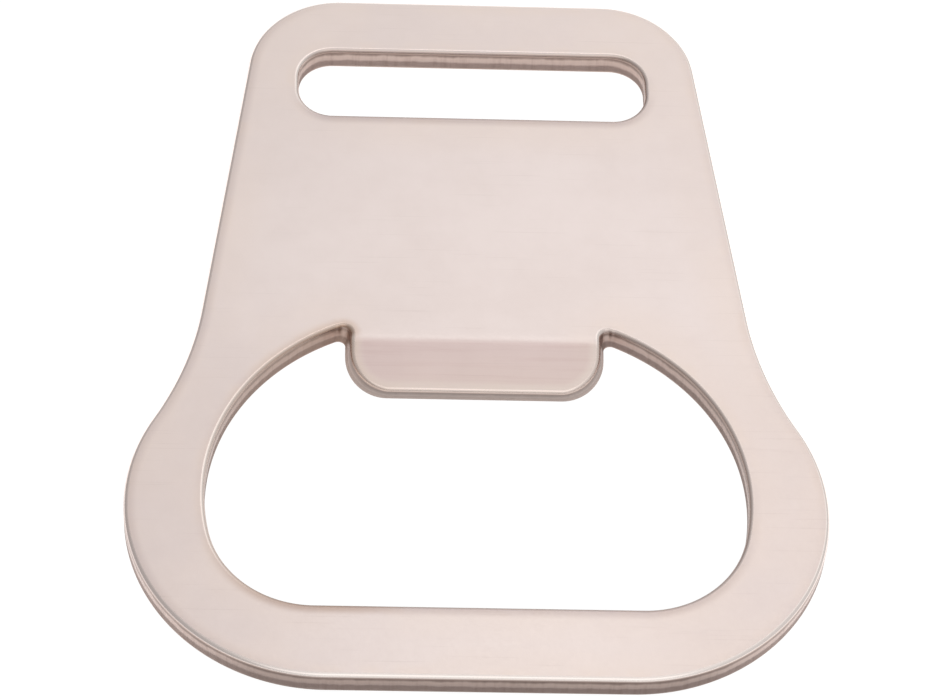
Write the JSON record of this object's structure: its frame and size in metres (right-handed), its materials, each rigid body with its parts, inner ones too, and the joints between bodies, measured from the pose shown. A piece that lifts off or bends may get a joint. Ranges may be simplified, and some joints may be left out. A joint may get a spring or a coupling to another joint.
{
  "type": "bottle opener",
  "caption": "Flat blanked steel bottle opener with a D-shaped cap opening, a bent-back hooking lip and a long slot for webbing or a key ring.",
  "frame": {"origin": "under the middle of the plate's outline, level with the lowest point of the bent lip", "axes": "+Z out of the front face, +Y from the cap bar towards the webbing slot, +X across the plate"},
  "size_m": [0.048, 0.0584, 0.003],
  "materials": {
    "plate": "satin nickel plate, faint warm tint, bright tumbled edges"
  },
  "bodies": {
    "root": {"opener_plate": "plate"}
  },
  "joints": []
}
